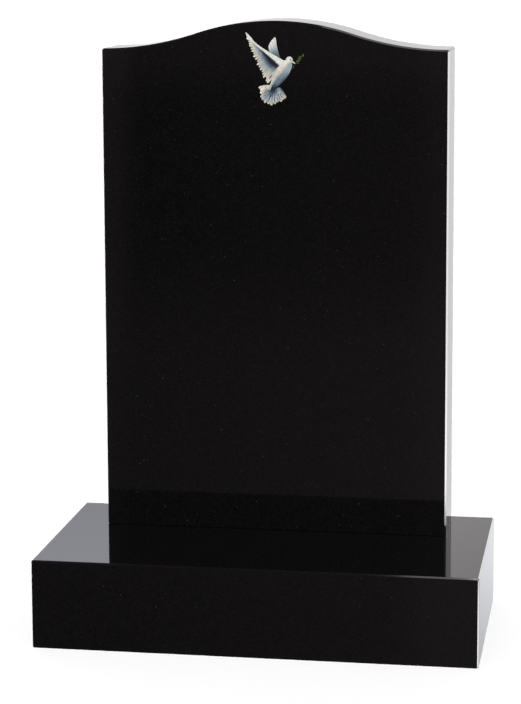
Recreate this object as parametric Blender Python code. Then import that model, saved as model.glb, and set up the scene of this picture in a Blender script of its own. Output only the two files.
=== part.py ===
"""Upright headstone of two polished black granite pieces, with a curved top.

The tablet stands towards the back of the base, so that a deep ledge stays free in front of it.
Units are metres. X runs along the width, the faces look to -Y and +Z is up. The origin is the
middle of the underside, on the ground.
"""

import math

import bmesh
import bpy

# Base, a plain block
BASE_WIDTH = 0.762
BASE_DEPTH = 0.400
BASE_HEIGHT = 0.154
BASE_ARRIS = 0.0025

# Tablet, an upright slab
TABLET_WIDTH = 0.610
TABLET_THICKNESS = 0.120
SHOULDER_HEIGHT = 0.856   # from the tablet's foot to the low ends of its top curve
TABLET_ARRIS = 0.003

# Top curve: a round crown in the middle that turns into a hollow towards each shoulder
CROWN_RISE = 0.049        # from the shoulders to the highest point
CROWN_REACH = 0.137       # from the middle to where the crown turns into the hollow
CROWN_FACETS = 20         # chords along half the crown
HOLLOW_FACETS = 22        # chords along each hollow

# How the two stones meet
REAR_MARGIN = 0.025       # base showing behind the tablet
BED_GAP = 0.0003          # the thin joint that the tablet stands on

# Edges that turn by more than this get an arris, so the chords of the curve stay as they are
ARRIS_ANGLE = math.radians(30)

GRANITE_COLOUR = (0.010, 0.010, 0.011, 1.0)
GRANITE_ROUGHNESS = 0.06


def clear_scene():
    """Remove whatever the scene holds."""
    for item in list(bpy.context.scene.objects):
        bpy.data.objects.remove(item, do_unlink=True)


def polished_granite(name):
    """A plain black, glossy stone."""
    material = bpy.data.materials.new(name)
    material.use_nodes = True
    shader = material.node_tree.nodes["Principled BSDF"]
    shader.inputs["Base Color"].default_value = GRANITE_COLOUR
    shader.inputs["Roughness"].default_value = GRANITE_ROUGHNESS
    shader.inputs["Metallic"].default_value = 0.0
    return material


def arc(centre_x, centre_z, radius, start, end, facets):
    """Points along an arc, both ends included, with angles measured from the +X direction."""
    points = []
    for step in range(facets + 1):
        angle = start + (end - start) * step / facets
        points.append((centre_x + radius * math.cos(angle), centre_z + radius * math.sin(angle)))
    return points


def right_half_of_top():
    """The top curve from its highest point down to the right shoulder, as (x, z) points.

    The crown's arc and the hollow's arc are level at their outer ends and tangent where they meet.
    """
    half_width = TABLET_WIDTH / 2
    both_radii = (half_width ** 2 + CROWN_RISE ** 2) / (2 * CROWN_RISE)
    crown_share = CROWN_REACH / half_width
    crown_radius = both_radii * crown_share
    hollow_radius = both_radii - crown_radius
    turn = math.asin(half_width / both_radii)

    top = SHOULDER_HEIGHT + CROWN_RISE
    level = math.pi / 2
    crown = arc(0, top - crown_radius, crown_radius, level, level - turn, CROWN_FACETS)
    hollow = arc(half_width, SHOULDER_HEIGHT + hollow_radius, hollow_radius,
                 -level - turn, -level, HOLLOW_FACETS)
    return crown + hollow[1:]


def tablet_outline():
    """The tablet's front outline, anticlockwise from its foot at the right."""
    half_width = TABLET_WIDTH / 2
    right = right_half_of_top()
    left = [(-x, z) for x, z in right[1:]]
    return [(half_width, 0)] + right[::-1] + left + [(-half_width, 0)]


def base_outline():
    """The base's front outline, anticlockwise from its foot at the right."""
    half_width = BASE_WIDTH / 2
    return [(half_width, 0), (half_width, BASE_HEIGHT), (-half_width, BASE_HEIGHT), (-half_width, 0)]


def cut_stone(name, outline, thickness, arris, material):
    """A slab with this front outline, its front face at y = 0, and an arris on every edge."""
    mesh = bpy.data.meshes.new(name)
    stone = bmesh.new()
    corners = [stone.verts.new((x, 0, z)) for x, z in outline]
    front = stone.faces.new(corners)
    extruded = bmesh.ops.extrude_face_region(stone, geom=[front], use_keep_orig=True)
    back = [item for item in extruded["geom"] if isinstance(item, bmesh.types.BMVert)]
    bmesh.ops.translate(stone, verts=back, vec=(0, thickness, 0))
    bmesh.ops.recalc_face_normals(stone, faces=stone.faces)

    edges = [edge for edge in stone.edges if edge.calc_face_angle(0) > ARRIS_ANGLE]
    bmesh.ops.bevel(stone, geom=edges, offset=arris, offset_type="OFFSET", affect="EDGES",
                    segments=1, profile=0.5, material=-1, clamp_overlap=True)
    stone.to_mesh(mesh)
    stone.free()

    mesh.materials.append(material)
    piece = bpy.data.objects.new(name, mesh)
    bpy.context.scene.collection.objects.link(piece)
    return piece


def make_base():
    """The block on the ground, its depth centred on the origin."""
    material = polished_granite("base_granite")
    base = cut_stone("base", base_outline(), BASE_DEPTH, BASE_ARRIS, material)
    base.location = (0, -BASE_DEPTH / 2, 0)
    return base


def make_tablet():
    """The upright slab on the base, set towards its back."""
    material = polished_granite("tablet_granite")
    tablet = cut_stone("tablet", tablet_outline(), TABLET_THICKNESS, TABLET_ARRIS, material)
    front_face = BASE_DEPTH / 2 - REAR_MARGIN - TABLET_THICKNESS
    tablet.location = (0, front_face, BASE_HEIGHT + BED_GAP)
    return tablet


def main():
    clear_scene()
    make_base()
    make_tablet()


main()
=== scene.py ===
import math

import bmesh
import bpy
from mathutils import Matrix, Vector


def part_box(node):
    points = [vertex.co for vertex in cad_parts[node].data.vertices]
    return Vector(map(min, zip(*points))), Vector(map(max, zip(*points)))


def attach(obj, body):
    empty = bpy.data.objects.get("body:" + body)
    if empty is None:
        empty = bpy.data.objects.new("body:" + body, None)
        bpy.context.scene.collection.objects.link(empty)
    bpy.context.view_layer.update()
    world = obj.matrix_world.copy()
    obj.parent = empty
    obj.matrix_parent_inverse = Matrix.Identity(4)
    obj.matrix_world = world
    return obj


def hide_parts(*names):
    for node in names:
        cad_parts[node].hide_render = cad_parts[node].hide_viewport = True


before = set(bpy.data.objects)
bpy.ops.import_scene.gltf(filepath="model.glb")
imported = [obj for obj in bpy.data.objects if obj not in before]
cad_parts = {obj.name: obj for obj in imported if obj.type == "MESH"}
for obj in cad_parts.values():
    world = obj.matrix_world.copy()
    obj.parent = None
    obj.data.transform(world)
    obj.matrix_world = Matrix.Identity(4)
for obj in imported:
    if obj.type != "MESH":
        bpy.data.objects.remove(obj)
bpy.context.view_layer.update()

tabletLow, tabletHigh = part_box("tablet")
baseLow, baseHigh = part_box("base")
print("frame loaded:", ", ".join(sorted(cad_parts)))


# Camera

camera = {
    "place": (0.614, -3.856, 1.221),
    "turn": 9.27,         # degrees to the left of straight on
    "tilt": 8.13,         # degrees down
    "roll": -0.23,
    "focalPixels": 2280,  # measured in the photograph's pixels
    "raisePixels": -100,  # keeps the uprights nearly parallel, as in the photograph
}
photoHeight = 704


def makeCamera(c):
    data = bpy.data.cameras.new("studioCamera")
    data.sensor_width = 36
    data.lens = c["focalPixels"] / photoHeight * data.sensor_width
    data.shift_y = c["raisePixels"] / photoHeight
    data.clip_start, data.clip_end = 0.05, 200
    eye = bpy.data.objects.new("studioCamera", data)
    bpy.context.scene.collection.objects.link(eye)
    turn = Matrix.Rotation(math.radians(c["turn"]), 4, "Z")
    tilt = Matrix.Rotation(math.radians(90 - c["tilt"]), 4, "X")
    roll = Matrix.Rotation(math.radians(c["roll"]), 4, "Z")
    eye.matrix_world = Matrix.Translation(c["place"]) @ turn @ tilt @ roll
    bpy.context.scene.camera = eye


makeCamera(camera)
print("camera placed")


# Shader maths

class Wire:
    # a node's output that adds Math nodes when it is used in a sum
    def __init__(self, graph, socket):
        self.graph = graph
        self.socket = socket

    def maths(self, operation, other):
        return self.graph.node("Math", {"operation": operation}, [self, other])

    def reflected(self, operation, other):
        return self.graph.node("Math", {"operation": operation}, [other, self])

    def __add__(self, other):
        return self.maths("ADD", other)

    __radd__ = __add__

    def __sub__(self, other):
        return self.maths("SUBTRACT", other)

    def __rsub__(self, other):
        return self.reflected("SUBTRACT", other)

    def __mul__(self, other):
        return self.maths("MULTIPLY", other)

    __rmul__ = __mul__

    def __truediv__(self, other):
        return self.maths("DIVIDE", other)

    def __rtruediv__(self, other):
        return self.reflected("DIVIDE", other)

    def __pow__(self, other):
        return self.maths("POWER", other)

    def __rpow__(self, other):
        return self.reflected("POWER", other)


class Graph:
    def __init__(self, tree):
        self.tree = tree
        tree.nodes.clear()

    def node(self, kind, settings=None, inputs=None, output=0):
        # settings go first, then the values or links of the sockets, by place or by name
        made = self.tree.nodes.new("ShaderNode" + kind)
        for name, value in (settings or {}).items():
            setattr(made, name, value)
        pairs = inputs.items() if isinstance(inputs, dict) else enumerate(inputs or [])
        for name, value in pairs:
            if isinstance(value, Wire):
                self.tree.links.new(value.socket, made.inputs[name])
            else:
                made.inputs[name].default_value = value
        return Wire(self, made.outputs[output]) if made.outputs else None

    def split(self, vector):
        return [self.node("SeparateXYZ", None, [vector], output=i) for i in range(3)]

    def smooth(self, value, low, high):
        # 0 below low, 1 above high, and a soft step between
        limits = {"Value": value, "From Min": low, "From Max": high, "To Min": 0, "To Max": 1}
        return self.node("MapRange", {"interpolation_type": "SMOOTHSTEP"}, limits)

    def window(self, value, low, lowFull, highFull, high):
        # 1 between the two full places, and softly 0 outside
        return self.smooth(value, low, lowFull) * self.smooth(value, high, highFull)

    def clamp(self, value, low, high):
        return self.node("Clamp", None, {"Value": value, "Min": low, "Max": high})

    def dim(self, light, value, steps):
        # each step takes a share of the light away between two places
        for low, high, share in steps:
            light = light * (1 - self.smooth(value, low, high) * share)
        return light

    def mixColour(self, share, first, second, blend="MIX"):
        # fixed colours have three parts, as everywhere in this file
        first, second = [c if isinstance(c, Wire) else (*c, 1) for c in (first, second)]
        settings = {"data_type": "RGBA", "blend_type": blend}
        return self.node("Mix", settings, {0: share, 6: first, 7: second}, output=2)


def newMaterial(name):
    material = bpy.data.materials.new(name)
    material.use_nodes = True
    return material, Graph(material.node_tree)


# Studio: a pale floor and backdrop, and a room of lights that only the polish reflects.
# Below, x, y and z are the parts of a direction in the room: x to the right, y to the back, z up.

studio = {
    "backdrop": (1.0, 1.0, 1.0),  # what the camera sees behind the floor
    "turnLean": 0.35,             # how far the sweep comes round on the right
    "turnRange": (0.05, 0.45),    # where the dark front goes over into the sweep
    "panels": (                   # overhead: middle, size and glow
        ((0.52, -0.9, 2.5), (0.6, 0.7), 12),
        ((0.12, -0.9, 2.5), (0.2, 0.7), 2),
        ((0.50, -0.1, 2.5), (0.62, 0.8), 1.8),
    ),
    "sunStrength": 4.0,
    "sunTurn": (46, 0, -20),
    "sunAngle": 40,
    "floorColour": (0.975, 0.975, 0.975),
    "floorSize": 120,
}
sweep = {  # the lit sweep behind the stone
    "glow": (0.985, 0.985, 1.0),
    "dims": ((0.2, 0.6, 0.7), (-0.25, -0.35, 0.38), (-0.45, -0.7, 1.0), (-0.262, -0.315, 0.16)),  # by z
    "upper": (0.08, 0.18),                 # z where the upper part begins, which the ledge mirrors
    "upperSlope": (0.77, -1.9, 0.6, 1.02),  # its light at x = 0, change with x, least and most
    "fall": (-0.03, -0.24, 0.07),          # by z, from the top of the base's side downwards
    "lift": (-0.246, -0.262, 0.15),
    "topBand": (0.0, 0.03, 0.08, 0.12),    # what the top of the tablet mirrors
    "topBandDim": 0.1,
    "left": (-0.12, -0.2),                 # x where the upper part on the left begins
    "leftShine": (-1.58, 9.8, 0.85, 1.08),  # its light at z = 0, change with z, least and most
    "leftTint": (1.0, 1.014, 1.10),
    "right": (-0.11, -0.08),
    "rightTint": (1.0, 0.966, 0.982),
    "low": (-0.248, -0.262),
    "lowTint": (0.985, 1.0, 1.045),
}
darkFront = {  # the dim room in front, which the faces mirror
    "glow": (1.08, 0.96, 1.0),
    "sideways": (0.0815, 0.34, 0.01, 0.3),  # light at x = 0, change with x, least and most
    "downward": ((-0.13, -0.19, 0.05), (-0.24, -0.32, -0.02)),  # by z, light added
    "leftEdge": 0.08,
    "leftEdgeAt": (-0.213, -0.223),
    "leftEdgeLoss": ((-0.14, -0.2, 0.05), (-0.25, -0.28, 0.03)),
    "rightEdge": 0.045,
    "rightEdgeAt": (-0.097, -0.079, 0.0, 0.1),
    "topEdge": 0.06,
    "topEdgeAt": (-0.078, -0.052, 0.0, 0.05),
}
sideStrip = {  # the strip at the right that lights the upright arrises
    "glow": 17,
    "turn": (-0.035, -0.05, -0.145, -0.16),
    "reach": (0.6, 0.7),
    "top": (0.12, 0.06),
    "lowGain": (-0.17, -0.25, 0.3),
    "gap": (-0.25, -0.2525, -0.275, -0.28),  # dark beside the foot of the tablet
    "footDim": ((-0.27, -0.28, 0.14),),
}
cornerPatch = {  # the patch behind that lights the right edge of the base
    "glow": 1.7,
    "across": (0.15, 0.19, 0.34, 0.4),
    "up": (0.0, 0.03, 0.1, 0.14),
}


def sweepLight(g, s, x, z, back):
    upper = g.smooth(z, *s["upper"])
    start, change, least, most = s["upperSlope"]
    slope = g.clamp(start + x * change, least, most)
    light = g.dim(back, z, s["dims"]) * (slope * upper + 1 - upper)
    (fallFrom, fallTo, fall), (liftFrom, liftTo, lift) = s["fall"], s["lift"]
    light = light * (1 - g.smooth(z, fallFrom, fallTo) * fall + g.smooth(z, liftFrom, liftTo) * lift)
    light = light * (1 - g.window(z, *s["topBand"]) * s["topBandDim"])

    leftUpper = g.smooth(x, *s["left"]) * upper
    start, change, least, most = s["leftShine"]
    light = light * (g.clamp(start + z * change, least, most) * leftUpper + 1 - leftUpper)
    tint = g.mixColour(leftUpper, s["glow"], s["leftTint"])
    tint = g.mixColour(g.smooth(x, *s["right"]) * upper, tint, s["rightTint"])
    tint = g.mixColour(g.smooth(z, *s["low"]), tint, s["lowTint"])
    return g.node("Background", None, [tint, light])


def frontLight(g, s, x, z, back):
    start, change, least, most = s["sideways"]
    light = g.clamp(start + x * change, least, most)
    for low, high, gain in s["downward"]:
        light = light + g.smooth(z, low, high) * gain
    leftEdge = s["leftEdge"]
    for low, high, loss in s["leftEdgeLoss"]:
        leftEdge = leftEdge - g.smooth(z, low, high) * loss
    light = light + leftEdge * g.smooth(x, *s["leftEdgeAt"])
    light = light + g.window(x, *s["rightEdgeAt"]) * s["rightEdge"]
    light = light + g.window(z, *s["topEdgeAt"]) * s["topEdge"]
    return g.node("Background", None, [(*s["glow"], 1), (1 - back) * light])


def boxLight(g, strip, patch, x, z, across, back):
    low, high, gain = strip["lowGain"]
    side = g.window(across, *strip["turn"]) * g.smooth(x, *strip["reach"]) * g.smooth(z, *strip["top"])
    side = side * (g.smooth(z, low, high) * gain + 1) * (1 - g.window(z, *strip["gap"]))
    side = g.dim(side, z, strip["footDim"])
    corner = g.window(x, *patch["across"]) * g.window(z, *patch["up"]) * back
    inPolish = g.node("LightPath", output="Is Glossy Ray")
    strength = (side * strip["glow"] + corner * patch["glow"]) * inPolish
    return g.node("Background", None, [(1, 1, 1, 1), strength])


def makeWorld(s):
    world = bpy.data.worlds.new("studioWorld")
    bpy.context.scene.world = world
    world.use_nodes = True
    g = Graph(world.node_tree)
    x, y, z = g.split(g.node("TexCoord", output="Generated"))
    level = (x * x + y * y + 0.0001) ** 0.5
    back = g.smooth((y + x * s["turnLean"]) / level, *s["turnRange"])
    behind = sweepLight(g, sweep, x, z, back)
    ahead = frontLight(g, darkFront, x, z, back)
    boxes = boxLight(g, sideStrip, cornerPatch, x, z, y / level, back)
    room = g.node("AddShader", None, [g.node("AddShader", None, [behind, ahead]), boxes])
    plain = g.node("Background", None, [(*s["backdrop"], 1), 1.0])
    seen = g.node("LightPath", output="Is Camera Ray")
    g.node("OutputWorld", None, [g.node("MixShader", None, [seen, room, plain])])


def makePanels(s):
    for place, (width, depth), glow in s["panels"]:
        data = bpy.data.lights.new("overheadPanel", "AREA")
        data.shape, data.size, data.size_y = "RECTANGLE", width, depth
        data.energy = glow * math.pi * width * depth  # the same brightness whatever the size
        lamp = bpy.data.objects.new("overheadPanel", data)
        lamp.location = place
        lamp.visible_camera = lamp.visible_diffuse = False
        bpy.context.scene.collection.objects.link(lamp)


def makeSun(s):
    # an even light from the front and above, which the polish doesn't mirror
    data = bpy.data.lights.new("softSun", "SUN")
    data.energy = s["sunStrength"]
    data.angle = math.radians(s["sunAngle"])
    data.use_shadow = False
    lamp = bpy.data.objects.new("softSun", data)
    lamp.rotation_euler = [math.radians(a) for a in s["sunTurn"]]
    lamp.visible_glossy = False
    bpy.context.scene.collection.objects.link(lamp)


def makeFloor(s):
    material, g = newMaterial("paleFloor")
    inputs = {"Base Color": (*s["floorColour"], 1), "Roughness": 0.9, "Specular IOR Level": 0.0}
    g.node("OutputMaterial", None, [g.node("BsdfPrincipled", None, inputs)])
    mesh = bpy.data.meshes.new("studioFloor")
    plane = bmesh.new()
    bmesh.ops.create_grid(plane, x_segments=1, y_segments=1, size=s["floorSize"] / 2)
    plane.to_mesh(mesh)
    plane.free()
    mesh.materials.append(material)
    floor = bpy.data.objects.new("studioFloor", mesh)
    floor.visible_glossy = floor.visible_diffuse = False
    bpy.context.scene.collection.objects.link(floor)


makeWorld(studio)
makePanels(studio)
makeSun(studio)
makeFloor(studio)
bpy.context.scene.view_settings.view_transform = "Standard"
print("studio lit")


# Polished black granite

granite = {
    "ground": (0.0026, 0.0023, 0.0025),
    "crystal": (0.0060, 0.0055, 0.0058),
    "fleck": (0.038, 0.039, 0.040),
    "honed": (0.0055, 0.0055, 0.0058),   # the arrises, rubbed by hand
    "sawn": (0.052, 0.053, 0.055),       # the beds that nobody sees
    "grainSize": 0.0009,
    "crystalSize": 0.0020,
    "fleckSize": 0.0017,
    "cloudScale": 30,
    "toneShares": (0.54, 0.42, 0.16),    # of crystals, grains and clouds
    "toneRange": (0.36, 1.02),
    "pitRange": (0.9, 0.98),
    "polish": 0.03,                      # the roughness of the best parts
    "crystalRoughness": 0.02,
    "pitRoughness": 0.1,
    "fleckRoughness": 0.12,
    "honedRoughness": 0.04,
    "sawnRoughness": 0.5,
    "reliefDepth": 0.0006,
    "ior": 1.5,
}


def polishedGranite(name, stone, shift, fleckShare):
    material, g = newMaterial(name)
    place = g.node("TexCoord", output="Object")
    place = g.node("Mapping", None, {"Vector": place, "Location": shift})

    def cells(size):
        # three numbers that differ from grain to grain
        inputs = {"Vector": place, "Scale": 1 / size}
        return g.split(g.node("TexVoronoi", {"feature": "F1"}, inputs, output="Color"))

    grains = cells(stone["grainSize"])
    crystals = cells(stone["crystalSize"])
    flecks = cells(stone["fleckSize"])
    cloudInputs = {"Vector": place, "Scale": stone["cloudScale"], "Detail": 4, "Roughness": 0.6}
    clouds = g.node("TexNoise", None, cloudInputs)
    ofCrystals, ofGrains, ofClouds = stone["toneShares"]
    mottle = crystals[0] * ofCrystals + grains[0] * ofGrains + clouds * ofClouds
    tone = g.smooth(mottle, *stone["toneRange"])
    fleck = g.smooth(flecks[1], 1 - fleckShare, 1)
    pits = g.smooth(grains[1], *stone["pitRange"])
    honed = g.node("Attribute", {"attribute_name": "arris"}, output="Fac")
    sawn = g.node("Attribute", {"attribute_name": "bed"}, output="Fac")

    colour = g.mixColour(tone, stone["ground"], stone["crystal"])
    colour = g.mixColour(fleck, colour, stone["fleck"])
    colour = g.mixColour(honed * (tone * 0.5 + 0.4), colour, stone["honed"])
    colour = g.mixColour(sawn * (tone * 0.4 + 0.6), colour, stone["sawn"])
    spots = (pits * stone["pitRoughness"] + fleck * stone["fleckRoughness"]) * (1 - honed)
    roughness = crystals[2] * stone["crystalRoughness"] + spots + stone["polish"]
    roughness = roughness + honed * stone["honedRoughness"] + sawn * stone["sawnRoughness"]
    height = clouds * 0.3 + grains[1] * sawn
    bumpInputs = {"Height": height, "Strength": sawn * 0.6 + 0.004, "Distance": stone["reliefDepth"]}
    shaderInputs = {"Base Color": colour, "Roughness": roughness, "IOR": stone["ior"],
                    "Normal": g.node("Bump", None, bumpInputs)}
    g.node("OutputMaterial", None, [g.node("BsdfPrincipled", None, shaderInputs)])
    return material


# The two stones, with the sizes of the frame

stoneEdge = {
    "segments": 2,
    "softness": 0.0002,
    "sharpTurn": 25,      # degrees, from which an edge is cut
    "footTurn": 60,       # degrees, the edges that are still square after the arrises
    "footHeight": 0.001,  # edges no higher than this above the foot have the smaller foot arris
}
tabletCut = {
    "arris": 0.003,
    "footArris": 0.001,
    "shoulder": 0.856,    # height of the low ends of the top curve above the foot
    "crownReach": 0.137,  # from the middle to where the crown turns into the hollow
    "crownSteps": 60,
    "hollowSteps": 60,
    "fleckShare": 0.0014,  # how many of the cells are pale flecks
    "patternAt": (0.31, 0.17, 0.05),
}
baseCut = {
    "arris": 0.0025,
    "footArris": 0.001,
    # fewer pale flecks than on the tablet: the flecks are pale crystals and partly painted glints, and
    # the base, lit less, gets fewer painted glints
    "fleckShare": 0.0004,
    "patternAt": (0.72, 0.44, 0.93),
}


def onlyVerts(items):
    return [item for item in items if isinstance(item, bmesh.types.BMVert)]


def drawFront(stone, cut, halfWidth, front, foot, top):
    # from the highest point down each side: the crown and the hollow, two arcs that meet in one
    # tangent, and the upright edge
    shoulder = foot + cut["shoulder"]
    rise = top - shoulder
    bothRadii = (halfWidth ** 2 + rise ** 2) / (2 * rise)
    crownRadius = bothRadii * cut["crownReach"] / halfWidth
    hollowRadius = bothRadii - crownRadius
    turn = math.asin(halfWidth / bothRadii)
    peak = stone.verts.new((0, front, top))
    corners = []
    for side in (1, -1):
        crown = (0, front, top - crownRadius)
        hollow = (side * halfWidth, front, shoulder + hollowRadius)
        bends = ((crown, turn, cut["crownSteps"]), (hollow, -turn, cut["hollowSteps"]))
        end = peak
        for centre, angle, steps in bends:
            spun = bmesh.ops.spin(stone, geom=[end], cent=centre, axis=(0, 1, 0),
                                  angle=side * angle, steps=steps)
            end = onlyVerts(spun["geom_last"])[0]
        end.co = (side * halfWidth, front, shoulder)  # the turns leave it some microns off
        corner = bmesh.ops.extrude_vert_indiv(stone, verts=[end])["verts"][0]
        corner.co.z = foot
        corners.append(corner)
    stone.edges.new(corners)
    bmesh.ops.edgeloop_fill(stone, edges=stone.edges[:])


def cutStone(name, stone, foot, cut, edge, material):
    # from a square-edged block: its arrises, and last a soft line beside each arris
    bmesh.ops.recalc_face_normals(stone, faces=stone.faces)
    arris = stone.faces.layers.float.new("arris")
    bed = stone.faces.layers.float.new("bed")
    for f in stone.faces:
        f[bed] = 1.0 if f.normal.z < -0.9 else 0.0  # the underside

    def cutEdges(edges, offset, segments):
        made = bmesh.ops.bevel(stone, geom=edges, offset=offset, offset_type="OFFSET", affect="EDGES",
                               segments=segments, profile=0.5, material=-1, clamp_overlap=True)
        for f in made["faces"]:
            f[arris], f[bed] = 1.0, 0.0

    def turned(degrees):
        return [e for e in stone.edges if e.calc_face_angle(0) > math.radians(degrees)]

    def aboveFoot(e):
        return max(v.co.z for v in e.verts) > foot + edge["footHeight"]

    cutEdges([e for e in turned(edge["sharpTurn"]) if aboveFoot(e)], cut["arris"], 1)
    cutEdges(turned(edge["footTurn"]), cut["footArris"], 1)
    cutEdges(turned(edge["sharpTurn"]), edge["softness"], edge["segments"])
    for f in stone.faces:
        f.smooth = True
    mesh = bpy.data.meshes.new(name)
    stone.to_mesh(mesh)
    stone.free()
    mesh.materials.append(material)
    piece = bpy.data.objects.new(name, mesh)
    bpy.context.scene.collection.objects.link(piece)
    weighted = piece.modifiers.new("flatFaces", "WEIGHTED_NORMAL")
    weighted.mode = "FACE_AREA"
    weighted.weight = 100
    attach(piece, "root")
    return piece


def makeTablet(cut):
    stone = bmesh.new()
    drawFront(stone, cut, tabletHigh.x, tabletLow.y, tabletLow.z, tabletHigh.z)
    extruded = bmesh.ops.extrude_face_region(stone, geom=stone.faces[:], use_keep_orig=True)
    thickness = tabletHigh.y - tabletLow.y
    bmesh.ops.translate(stone, verts=onlyVerts(extruded["geom"]), vec=(0, thickness, 0))
    material = polishedGranite("tabletGranite", granite, cut["patternAt"], cut["fleckShare"])
    tablet = cutStone("headstoneTablet", stone, tabletLow.z, cut, stoneEdge, material)
    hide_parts("tablet")


def makeBase(cut):
    stone = bmesh.new()
    bmesh.ops.create_cube(stone, size=1)
    bmesh.ops.scale(stone, verts=stone.verts, vec=baseHigh - baseLow)
    bmesh.ops.translate(stone, verts=stone.verts, vec=(baseHigh + baseLow) / 2)
    material = polishedGranite("baseGranite", granite, cut["patternAt"], cut["fleckShare"])
    base = cutStone("headstoneBase", stone, baseLow.z, cut, stoneEdge, material)
    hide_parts("base")


makeTablet(tabletCut)
makeBase(baseCut)
print("stones cut")


# The painted dove: thin overlapping strokes on the polish, at least one for each feather

dove = {
    "centre": (0.002, 0.9735),  # on the front of the tablet, in metres
    "unit": 0.00096,            # the size of a step in the places below, about a millimetre
    "film": 0.010,              # the thickness of a stroke
    "shingle": 0.006,           # how far a feather rises across its breadth, over its neighbour
    "roots": ((-37, 46), (-20, 34), (-1, 22), (12, 4)),
    "tips": ((-53, 67), (-49, 46), (-27, -2), (-13, -23)),
    "leading": ((-52.5, 68.5), (-37, 45), (-10, 33.5), (19, 16)),
    "farRoots": ((10, 20), (6, 22), (1, 24), (-4, 25)),
    "farTips": ((0.5, 60), (-3, 57.5), (-7.5, 53.5), (-10, 46)),
    "tailRoot": (-2, -29),
    "tailFrom": 186,
    "tailTo": 318,
    "tailRows": ((13, 1.0, 3.3, 0.02), (10, 0.6, 3.1, 0.05)),  # feathers, length, half breadth, layer
    "tailGaps": (               # turn, start, end and half breadth of the dark strokes between feathers
        (202, 10, 21, 0.6), (213, 9, 24, 0.8), (224.5, 15, 28, 0.45), (235, 13, 30, 0.65),
        (247, 12, 30.5, 1.2), (256.5, 13, 29, 0.5), (267.5, 15, 29.5, 0.8), (278.5, 17, 28, 0.5),
        (289, 12, 26.5, 0.7), (300, 13, 23.5, 0.6), (310, 11, 20, 0.45),
    ),
    "wingRows": (               # length, half breadth, feathers, and where the row starts
        (1.0, 2.5, 22, 0.0), (0.66, 2.5, 19, 0.1), (0.46, 2.3, 21, 0.12), (0.30, 2.1, 23, 0.14),
    ),
    "flankGap": ((-10.5, -15), (-4.5, -7.5), 1.2),
    "spine": ((25, 19), (20.5, 3), (8, -11), (-8, -36)),
    "head": (26.8, 18.8),
    "headRadius": 6.3,
    "beakTip": (38.0, 11.8),
    "stem": ((37, 13), (41, 14), (44, 20), (49.5, 26)),
    "lowLeaves": (((35.5, 9.5), (30.5, 2.0)), ((35, 9), (35.5, 3.0))),
    "layers": {                 # how far in front of the stone each part is painted
        "farWing": 0.02, "sprig": 0.02, "wing": 0.06, "tailGap": 0.075, "flankGap": 0.17,
        "leading": 0.19, "body": 0.23, "beak": 0.30, "head": 0.32, "eye": 0.345,
    },
}
paints = {
    "white": (229, 229, 222),
    "cream": (197, 191, 173),
    "pearl": (160, 173, 181),
    "slate": (92, 108, 121),
    "shadow": (28, 33, 40),
    "horn": (198, 176, 156),
    "pupil": (36, 20, 16),
    "iris": (104, 70, 56),
    "leaf": (100, 121, 64),
    "leafShade": (46, 62, 36),
}


def gradient(stops, place):
    # the colour at a place between 0 and 1 along named paints, as light rather than screen values
    place = max(0.0, min(1.0, place))
    for (low, first), (high, second) in zip(stops, stops[1:]):
        if place <= high:
            share = (place - low) / (high - low)
            screen = Vector(paints[first]).lerp(Vector(paints[second]), share)
            return Vector([((c / 255 + 0.055) / 1.055) ** 2.4 for c in screen])


def onCurve(points, t):
    # a place on the smooth curve that its points pull towards them
    line = [Vector(p) for p in points]
    while len(line) > 1:
        line = [a.lerp(b, t) for a, b in zip(line, line[1:])]
    return line[0]


def flat(name):
    return lambda u, v: gradient(((0, name), (1, name)), 0.5)


def ripple(number):
    # a small fixed unevenness, as a hand would leave
    return math.sin(number * 12.9898) * math.cos(number * 4.1414)


def heading(degrees):
    return Vector((math.cos(math.radians(degrees)), math.sin(math.radians(degrees))))


def ease(low, high, value):
    share = max(0.0, min(1.0, (value - low) / (high - low)))
    return share * share * (3 - 2 * share)


def brush(paint, place, width, tone, depth, across=4, along=8, tilt=0.0):
    # one stroke: place(v) is its middle line, width(v) half its breadth, tone(u, v) its colour,
    # with u from -1 to 1 across it and v from 0 to 1 along it
    made = bmesh.ops.create_grid(paint, x_segments=across, y_segments=along, size=0.5, calc_uvs=True)
    colour = paint.verts.layers.float_color["paint"]
    for vertex in made["verts"]:
        u, v = vertex.co.x * 2, vertex.co.y + 0.5
        ahead = place(min(1, v + 0.01)) - place(max(0, v - 0.01))
        side = Vector((ahead.y, -ahead.x)).normalized()
        spot = place(v) + side * width(v) * u
        vertex[colour] = (*tone(u, v), 1)
        lift = depth + tilt * u
        vertex.co = (dove["centre"][0] + spot.x * dove["unit"], tabletLow.y - lift * dove["unit"],
                     dove["centre"][1] + spot.y * dove["unit"])


def feather(paint, root, tip, breadth, tone, depth, bend=0.0, blunt=6.0, tilt=0.0, across=4, along=8):
    root, tip = Vector(root), Vector(tip)
    line = tip - root
    side = Vector((line.y, -line.x)) * bend

    def reach(v):
        return math.sin(v * math.pi / 2)  # closer rows towards the tip, which is round

    brush(paint, lambda v: root + line * reach(v) + side * math.sin(math.pi * reach(v)),
          lambda v: breadth * min(1, 0.45 + 1.6 * reach(v)) * max(0.01, 1 - reach(v) ** blunt) ** 0.5,
          lambda u, v: tone(u, reach(v)), depth, across, along, tilt)


def vane(stops, edge=0.12):
    # a feather's colour: along the stops from root to tip, darker where the next feather lies over it
    return lambda u, v: gradient(stops, v) * (1 - edge * max(0, -u) ** 1.5 * (1 - 0.5 * v))


def paintFarWing(paint, d):
    for i in range(7):
        t = i / 6
        pale = "cream" if i % 2 else "white"
        stops = ((0, "shadow"), (0.2, "slate"), (0.5, "pearl"), (0.8, pale), (1, "white"))
        feather(paint, onCurve(d["farRoots"], t), onCurve(d["farTips"], t), 2.2, vane(stops, 0.5),
                d["layers"]["farWing"], bend=-0.07 + 0.02 * t, blunt=8, tilt=d["shingle"])


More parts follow.
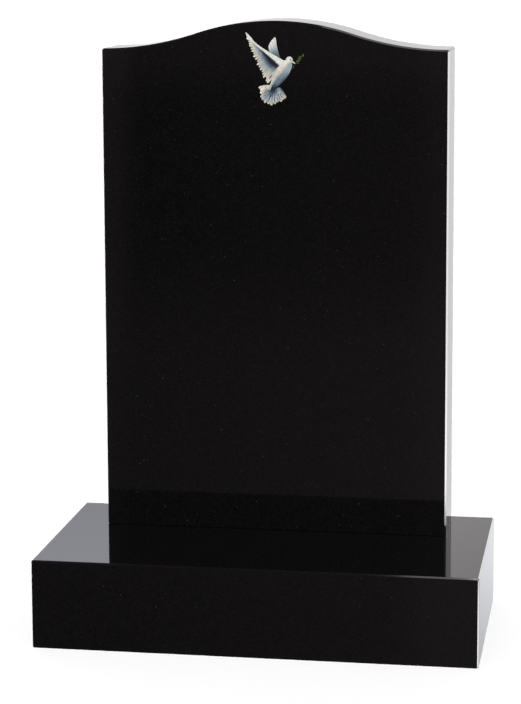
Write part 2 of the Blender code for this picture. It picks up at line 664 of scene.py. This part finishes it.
def shaded(amount):
    # plumage from full light, 0, to deep shade, 1
    stops = ((0, "white"), (0.26, "cream"), (0.5, "pearl"), (0.76, "slate"), (1, "shadow"))
    return gradient(stops, amount)


def gapTone(u, v):
    return gradient(((0, "slate"), (0.2, "shadow"), (0.7, "shadow"), (1, "slate")), v)


def tailTone(t, tip):
    # cream at the left, deep under the body, pearl at the right; tip from 0 at the root to 1
    deep = ease(0.16, 0.42, t) * (1 - 0.55 * ease(0.62, 0.95, t))
    blade = 0.2 + 0.34 * ease(0.15, 0.35, t) - 0.12 * ease(0.45, 0.7, t)
    return blade * (1 - 0.5 * ease(0.75, 1.0, tip)) + (0.95 - blade) * deep * (1 - ease(0.2, 0.72, tip))


def paintTail(paint, d):
    middle = Vector(d["tailRoot"])
    for row, (count, long, breadth, depth) in enumerate(d["tailRows"]):
        for i in range(count):
            t = i / (count - 1)
            turn = d["tailFrom"] + (d["tailTo"] - d["tailFrom"]) * t + 1.6 * ripple(i + row * 7)
            right = ease(0.6, 1, t)  # the feathers at the right are longer and start further out
            fan = math.sin(math.pi * min(1, t * 1.05)) ** 2
            reach = 26 + 8.5 * fan + 4 * right + 1.5 * ripple(i + 3)
            root = middle + Vector((9 * (t - 0.35) + 5 * right, -1.5 * math.sin(math.pi * t) - 2 * right))
            tip = middle + heading(turn) * reach * long
            light = 1 + 0.14 * ripple(i * 3 + row)

            def tone(u, v, t=t, long=long, light=light):
                edge = 1 - 0.85 * max(0, -u) ** 1.6 * (1 - 0.7 * v ** 4) + 0.1 * max(0, u)
                return shaded(tailTone(t, v * long)) * edge * light

            feather(paint, root, tip, breadth * (0.9 if t < 0.1 or t > 0.9 else 1), tone, depth,
                    bend=0.03, blunt=14, tilt=d["shingle"], along=12)
    for turn, start, end, breadth in d["tailGaps"]:
        way = heading(turn)
        root = middle + Vector((9 * (turn - d["tailFrom"]) / 130 - 3, -1))  # further right as they turn
        feather(paint, root + way * start, root + way * end, breadth, gapTone,
                d["layers"]["tailGap"], bend=0.03, blunt=1.3, across=2, along=10)


def wingTone(t, q):
    # the underside of the near wing: t from its tip to the body, q from the bone to the trailing edge
    depth = (0.5 + 0.5 * ease(0.15, 0.66, t)) * ease(-0.05, 0.14, t) * (1 - 0.62 * ease(0.8, 0.99, t))
    inner = ease(0.25, 0.7, t)
    fall = 0.34 * (1 - ease(0.12, 0.34, q)) + 0.66 * (1 - ease(0.2, 0.72 + 0.16 * inner, q))
    rim = 0.3 * ease(1.06, 0.8, q) * ease(0.05, 0.25, t) * (1 - 0.5 * ease(0.7, 0.95, t))
    return shaded(0.98 * depth * fall + rim)


def paintNearWing(paint, d):
    for row, (length, breadth, count, first) in enumerate(d["wingRows"]):
        last = 0.86 if row else 0.99
        for i in range(count):
            t = first + (last - first) * i / (count - 1)
            root, tip = onCurve(d["roots"], t), onCurve(d["tips"], t)
            long = length * (1 + (0.075 if row == 0 else 0.04) * ripple(i + 10 * row))
            light = 1 + 0.15 * ripple(i * 5 + row)

            def tone(u, v, t=t, long=long, light=light):
                edge = 1 - 0.6 * max(0, -u) ** 1.6 * (1 - 0.6 * v) + 0.1 * max(0, u) * v
                return wingTone(t, v * long) * edge * light * (0.92 + 0.06 * v ** 3)

            feather(paint, root, root + (tip - root) * long, breadth * (0.7 + 0.6 * ease(0.0, 0.5, t)),
                    tone, d["layers"]["wing"] + 0.03 * row, bend=0.06 - 0.03 * t, blunt=5,
                    tilt=d["shingle"], along=6 if row else 10)
    start, end, breadth = d["flankGap"]
    feather(paint, start, end, breadth, gapTone, d["layers"]["flankGap"], blunt=1.3, across=2)


def paintLeadingEdge(paint, d):
    def middle(v):
        return onCurve(d["leading"], v) + Vector((-0.35, -1)) * (0.35 + 4.6 * v ** 3)

    def width(v):
        return 0.5 + 4.9 * v ** 3

    def tone(u, v):
        return gradient(((0, "white"), (0.6, "white"), (1, "cream")), u * 0.5 + 0.5)

    depth = d["layers"]["leading"]
    brush(paint, middle, width, tone, depth, 6, 24)
    for row in range(4):
        count = 38 - 4 * row
        for i in range(count):
            v = 0.04 + 0.96 * i / (count - 1)
            root = middle(v) + Vector((0.35, 1)) * width(v) * (-0.6 + 0.4 * row)
            way = Vector((-0.9, -0.6)).lerp(Vector((-0.8, -0.95)), v) * (1.5 + 3.3 * v ** 1.6)
            stops = ((0, "cream"), (0.25, "white"), (1, "white"))
            if row == 0:
                stops = ((0, "white"), (0.5, "cream"), (1, "pearl"))
            feather(paint, root, root + way, 0.55 + 0.95 * v, vane(stops, 0.14),
                    depth + 0.01 + 0.008 * row, blunt=4, tilt=d["shingle"] / 2, across=2, along=5)


def bodyWidth(v):
    ends = min(1, 0.5 + v * 5.5, 0.3 + (1 - v) * 7)
    return (1.0 + 10.6 * math.sin(math.pi * min(1, 0.19 + v * 0.72)) ** 0.95) * ends


def bodyTone(u, v):
    # lit from the upper left; u is -1 on the side of the breast
    turned = 0.45 * ease(0.25, 0.7, v)  # the flank turns away lower down
    under = ease(0.35 + turned, -0.45 + turned, u)
    shade = under * (0.42 + 0.12 * ease(0.3, 0.8, v)) + 0.2 * ease(-0.45, -1.0, u) * ease(0.25, 0.6, v)
    shade = shade + 0.4 * ease(0.74, 1.0, v) * ease(0.8, 0.0, u)
    return shaded(0.05 + 0.12 * ease(0.1, 0.5, v) + shade)


def paintBody(paint, d):
    def spine(v):
        return onCurve(d["spine"], v)

    depth = d["layers"]["body"]
    brush(paint, spine, bodyWidth, bodyTone, depth, 14, 32)
    rows = 21
    for row in range(rows):
        v = 0.05 + 0.88 * row / (rows - 1)
        columns = max(3, round(bodyWidth(v) / 1.05))
        ahead = (spine(min(1, v + 0.01)) - spine(v - 0.01)).normalized()
        side = Vector((ahead.y, -ahead.x))
        for column in range(columns):
            u = -0.9 + 1.8 * (column + (0.5 if row % 2 else 0.0)) / columns
            root = spine(v) + side * bodyWidth(v) * u
            length = 3.2 + 1.2 * v + 0.4 * ripple(row * 17 + column)

            def tone(across, along, u=u, v=v):
                return bodyTone(u, v) * (0.87 + 0.2 * along ** 2 + 0.07 * ripple(u * 91 + v * 37))

            feather(paint, root, root + ahead * length, 1.15, tone, depth + 0.01 + 0.002 * (rows - row),
                    blunt=3, across=2, along=4)


def disc(paint, centre, radius, tone, depth, across=4, along=8):
    up = Vector((0.15, 1)).normalized()
    brush(paint, lambda v: centre + up * radius * math.cos(math.pi * v),
          lambda v: radius * max(0.02, math.sin(math.pi * v)), tone, depth, across, along)


def paintHead(paint, d):
    centre, radius = Vector(d["head"]), d["headRadius"]
    beakTip = Vector(d["beakTip"])
    beakWay = (beakTip - centre).normalized()
    root = centre + beakWay * radius * 0.72
    layers = d["layers"]
    upper, lower = ((0, "cream"), (0.5, "white"), (1, "horn")), ((0, "horn"), (1, "slate"))
    for side, breadth, stops in ((0.5, 1.2, upper), (-0.5, 0.9, lower)):
        offset = Vector((-beakWay.y, beakWay.x)) * side * 1.3
        feather(paint, root + offset, beakTip + offset * 0.25, breadth, vane(stops, 0.1),
                layers["beak"] + 0.01 * side, bend=-0.06 * side, blunt=1.6)

    def roundTone(u, v):
        stops = ((0, "white"), (0.5, "white"), (0.8, "cream"), (1, "pearl"))
        return gradient(stops, 0.25 + 0.5 * v - 0.3 * u)

    disc(paint, centre, radius, roundTone, layers["head"], 10, 14)
    tufts = 46
    for i in range(tufts):
        turn, far = i * 2.39996, (i / tufts) ** 0.5 * 0.8  # the golden angle spreads them evenly
        root = centre + Vector((math.cos(turn), math.sin(turn))) * radius * far - beakWay * 0.8
        stops = ((0, "white"), (1, "cream")) if i % 2 else ((0, "cream"), (1, "white"))
        if root.y < centre.y - 2.5:
            stops = ((0, "cream"), (1, "pearl"))
        feather(paint, root, root - beakWay * 1.9 + Vector((0.1, -1.3)), 0.32, vane(stops, 0.0),
                layers["head"] + 0.005 + 0.0003 * (tufts - i), blunt=2, across=2, along=4)
    eye = centre + beakWay * 1.6 + Vector((0.4, 1.6))
    for size, name, rise in ((1.5, "cream", 0), (1.15, "iris", 0.01), (0.7, "pupil", 0.02)):
        disc(paint, eye, size, flat(name), layers["eye"] + rise)
    disc(paint, eye + Vector((-0.25, 0.45)), 0.2, flat("white"), layers["eye"] + 0.03)


def paintSprig(paint, d):
    def stem(v):
        return onCurve(d["stem"], v)

    def stemTone(u, v):
        return gradient(((0, "leafShade"), (1, "leaf")), v)

    depth = d["layers"]["sprig"]
    brush(paint, stem, lambda v: 0.42 - 0.25 * v, stemTone, depth, 2, 14)
    leaves = 8
    for i in range(leaves):
        v = 0.1 + 0.88 * i / (leaves - 1)
        ahead = (stem(min(1, v + 0.02)) - stem(v - 0.02)).normalized()
        swing = math.radians((44 if i % 2 else -34) * (1 - 0.35 * v) if i < leaves - 1 else 0)
        way = Vector((ahead.x * math.cos(swing) - ahead.y * math.sin(swing),
                      ahead.x * math.sin(swing) + ahead.y * math.cos(swing)))
        stops = ((0, "leafShade"), (0.5, "leaf" if i % 3 else "leafShade"), (1, "leaf"))
        feather(paint, stem(v), stem(v) + way * (5.8 + 1.2 * ripple(i)), 1.05, vane(stops, 0.45),
                depth + 0.01 + 0.004 * i, bend=0.08 if i % 2 else -0.08, blunt=1.5, tilt=0.002)
    dark = ((0, "leafShade"), (1, "leafShade"))
    for start, end in d["lowLeaves"]:
        feather(paint, start, end, 1.0, vane(dark, 0.3), depth + 0.01, bend=0.1, blunt=1.5)


enamel = {
    "brightness": 0.98,
    "barbs": 0.44,        # how strongly each of these lightens and darkens a stroke
    "bristles": 0.36,
    "dabs": 0.8,
    "shaft": 0.12,        # the pale line down the middle of a feather
    "barbTurns": (26, 7, 3),  # along a stroke, how far they slant, and across it
    "bristleScale": 900,
    "dabScale": 340,
    "roughness": 0.42,
    "roughnessChange": 0.15,
}


def paintMaterial(e):
    material, g = newMaterial("enamelPaint")
    tone = g.node("Attribute", {"attribute_name": "paint"}, output="Color")
    u, v, _ = g.split(g.node("TexCoord", output="UV"))
    off = g.node("Math", {"operation": "ABSOLUTE"}, [u - 0.5]) * 2
    along, slant, across = e["barbTurns"]
    slanted = g.node("CombineXYZ", None, [v * along + off * slant, u * across, 0.0])
    spot = g.node("TexCoord", output="Object")

    def noise(place, scale, detail, roughness):
        inputs = {"Vector": place, "Scale": scale, "Detail": detail, "Roughness": roughness}
        return g.node("TexNoise", None, inputs)

    barbs = noise(slanted, 1.0, 3, 0.6)
    bristles = noise(spot, e["bristleScale"], 3, 0.6)
    dabs = noise(spot, e["dabScale"], 2, 0.5)
    shaft = g.smooth(off, 0.12, 0.03) * e["shaft"]
    strength = (barbs - 0.5) * e["barbs"] + (bristles - 0.5) * e["bristles"] + (dabs - 0.5) * e["dabs"]
    strength = strength + shaft + e["brightness"]
    grey = g.node("CombineColor", None, [strength, strength, strength])
    roughness = barbs * e["roughnessChange"] + e["roughness"]
    shaderInputs = {"Base Color": g.mixColour(1.0, tone, grey, blend="MULTIPLY"), "Roughness": roughness}
    g.node("OutputMaterial", None, [g.node("BsdfPrincipled", None, shaderInputs)])
    return material


def paintDove(d):
    paint = bmesh.new()
    paint.verts.layers.float_color.new("paint")
    paint.loops.layers.uv.new("strokes")
    parts = (paintFarWing, paintTail, paintSprig, paintNearWing, paintLeadingEdge, paintBody, paintHead)
    for paintPart in parts:
        paintPart(paint, d)
    film = bmesh.ops.extrude_face_region(paint, geom=paint.faces[:], use_keep_orig=True)
    bmesh.ops.translate(paint, verts=onlyVerts(film["geom"]), vec=(0, d["film"] * d["unit"], 0))
    bmesh.ops.recalc_face_normals(paint, faces=paint.faces)
    mesh = bpy.data.meshes.new("paintedDove")
    paint.to_mesh(mesh)
    paint.free()
    mesh.materials.append(paintMaterial(enamel))
    piece = bpy.data.objects.new("paintedDove", mesh)
    bpy.context.scene.collection.objects.link(piece)
    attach(piece, "root")
    print("dove painted with", sum(len(p.vertices) - 2 for p in mesh.polygons), "triangles")


paintDove(dove)
